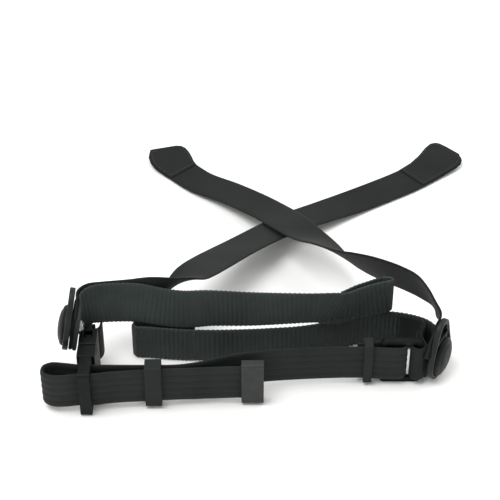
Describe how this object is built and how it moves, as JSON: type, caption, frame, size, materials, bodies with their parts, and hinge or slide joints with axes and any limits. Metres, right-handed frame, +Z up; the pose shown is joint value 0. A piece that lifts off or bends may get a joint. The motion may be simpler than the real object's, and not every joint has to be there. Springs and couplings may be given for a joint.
{
  "type": "avalanche transceiver carrying harness",
  "caption": "Webbing harness: split waist band with riveted hubs, elastic front strap with side-release latch and slide frame, crossed over-straps.",
  "frame": {"origin": "centre of the bounding box on the surface that the harness lies on", "axes": "+X across the harness towards its right hub, +Y from the front strap towards the over-straps' ends, +Z up"},
  "size_m": [0.268, 0.264, 0.065],
  "materials": {
    "band_webbing": "heavy ribbed polyester webbing",
    "strap_webbing": "smooth polyester webbing",
    "elastic_webbing": "elastic webbing with lengthwise ribs",
    "hub_nylon": "moulded nylon, satin rim",
    "cap_acetal": "moulded acetal, fine texture",
    "latch_acetal": "moulded acetal",
    "keeper_rubber": "moulded soft rubber",
    "rivet_steel": "plated steel"
  },
  "bodies": {
    "band": {"band_upper": "band_webbing", "band_lower": "band_webbing", "hub_left_cap": "cap_acetal", "hub_left_rivet": "rivet_steel", "hub_left_washer": "rivet_steel", "hub_right_cap": "cap_acetal", "hub_right_rivet": "rivet_steel", "hub_right_washer": "rivet_steel", "over_left_root": "strap_webbing", "latch_socket": "latch_acetal", "latch_tab": "strap_webbing", "slide_tab": "strap_webbing"},
    "left_plate": {"hub_left_plate": "hub_nylon"},
    "right_plate": {"hub_right_plate": "hub_nylon", "over_right_root": "strap_webbing"},
    "right_strap": {"over_right": "strap_webbing", "end_tab_right": "strap_webbing"},
    "left_strap": {"over_left": "strap_webbing", "end_tab_left": "strap_webbing"},
    "front": {"front_strap": "elastic_webbing", "keeper_tail": "keeper_rubber", "keeper_end": "elastic_webbing", "slide_frame": "latch_acetal", "latch_plug": "latch_acetal"},
    "arm_upper": {"latch_arm_upper": "latch_acetal"},
    "arm_lower": {"latch_arm_lower": "latch_acetal"},
    "keeper": {"keeper_middle": "elastic_webbing"}
  },
  "joints": [
    {"name": "strap_swing", "type": "hinge", "parent": "band", "child": "front", "pos_m": [0.08636, -0.10162, 0.0163], "axis": [0, 0, 1], "range_deg": [0, 40]},
    {"name": "arm_upper_press", "type": "hinge", "parent": "front", "child": "arm_upper", "pos_m": [-0.10814, -0.10512, 0.0272], "axis": [-1, 0, 0], "range_deg": [0, 5], "stiffness_Nm_per_rad": 0.2},
    {"name": "arm_lower_press", "type": "hinge", "parent": "front", "child": "arm_lower", "pos_m": [-0.10814, -0.10512, 0.0048], "axis": [1, 0, 0], "range_deg": [0, 5], "stiffness_Nm_per_rad": 0.2},
    {"name": "keeper_slide", "type": "slide", "parent": "front", "child": "keeper", "axis": [0.999, 0.0449, 0], "range_m": [-0.014, 0.016]},
    {"name": "left_plate_swivel", "type": "hinge", "parent": "band", "child": "left_plate", "pos_m": [-0.11914, -0.09562, 0.038], "axis": [-0.9848, 0, 0.1736], "range_deg": [-20, 20]},
    {"name": "right_plate_swivel", "type": "hinge", "parent": "band", "child": "right_plate", "pos_m": [0.09886, -0.09562, 0.0144], "axis": [0.8829, -0.4695, 0], "range_deg": [0, 12]},
    {"name": "right_strap_lift", "type": "hinge", "parent": "right_plate", "child": "right_strap", "pos_m": [0.06726, -0.04582, 0.052], "axis": [0.7071, 0.7071, 0], "range_deg": [0, 60]},
    {"name": "left_strap_lift", "type": "hinge", "parent": "band", "child": "left_strap", "pos_m": [-0.04324, -0.04102, 0.0393], "axis": [0.8522, -0.5231, 0], "range_deg": [0, 48]}
  ],
  "couplings": [
    {"joint": "left_strap_lift", "follows": "right_strap_lift", "ratio": 0.8}
  ]
}
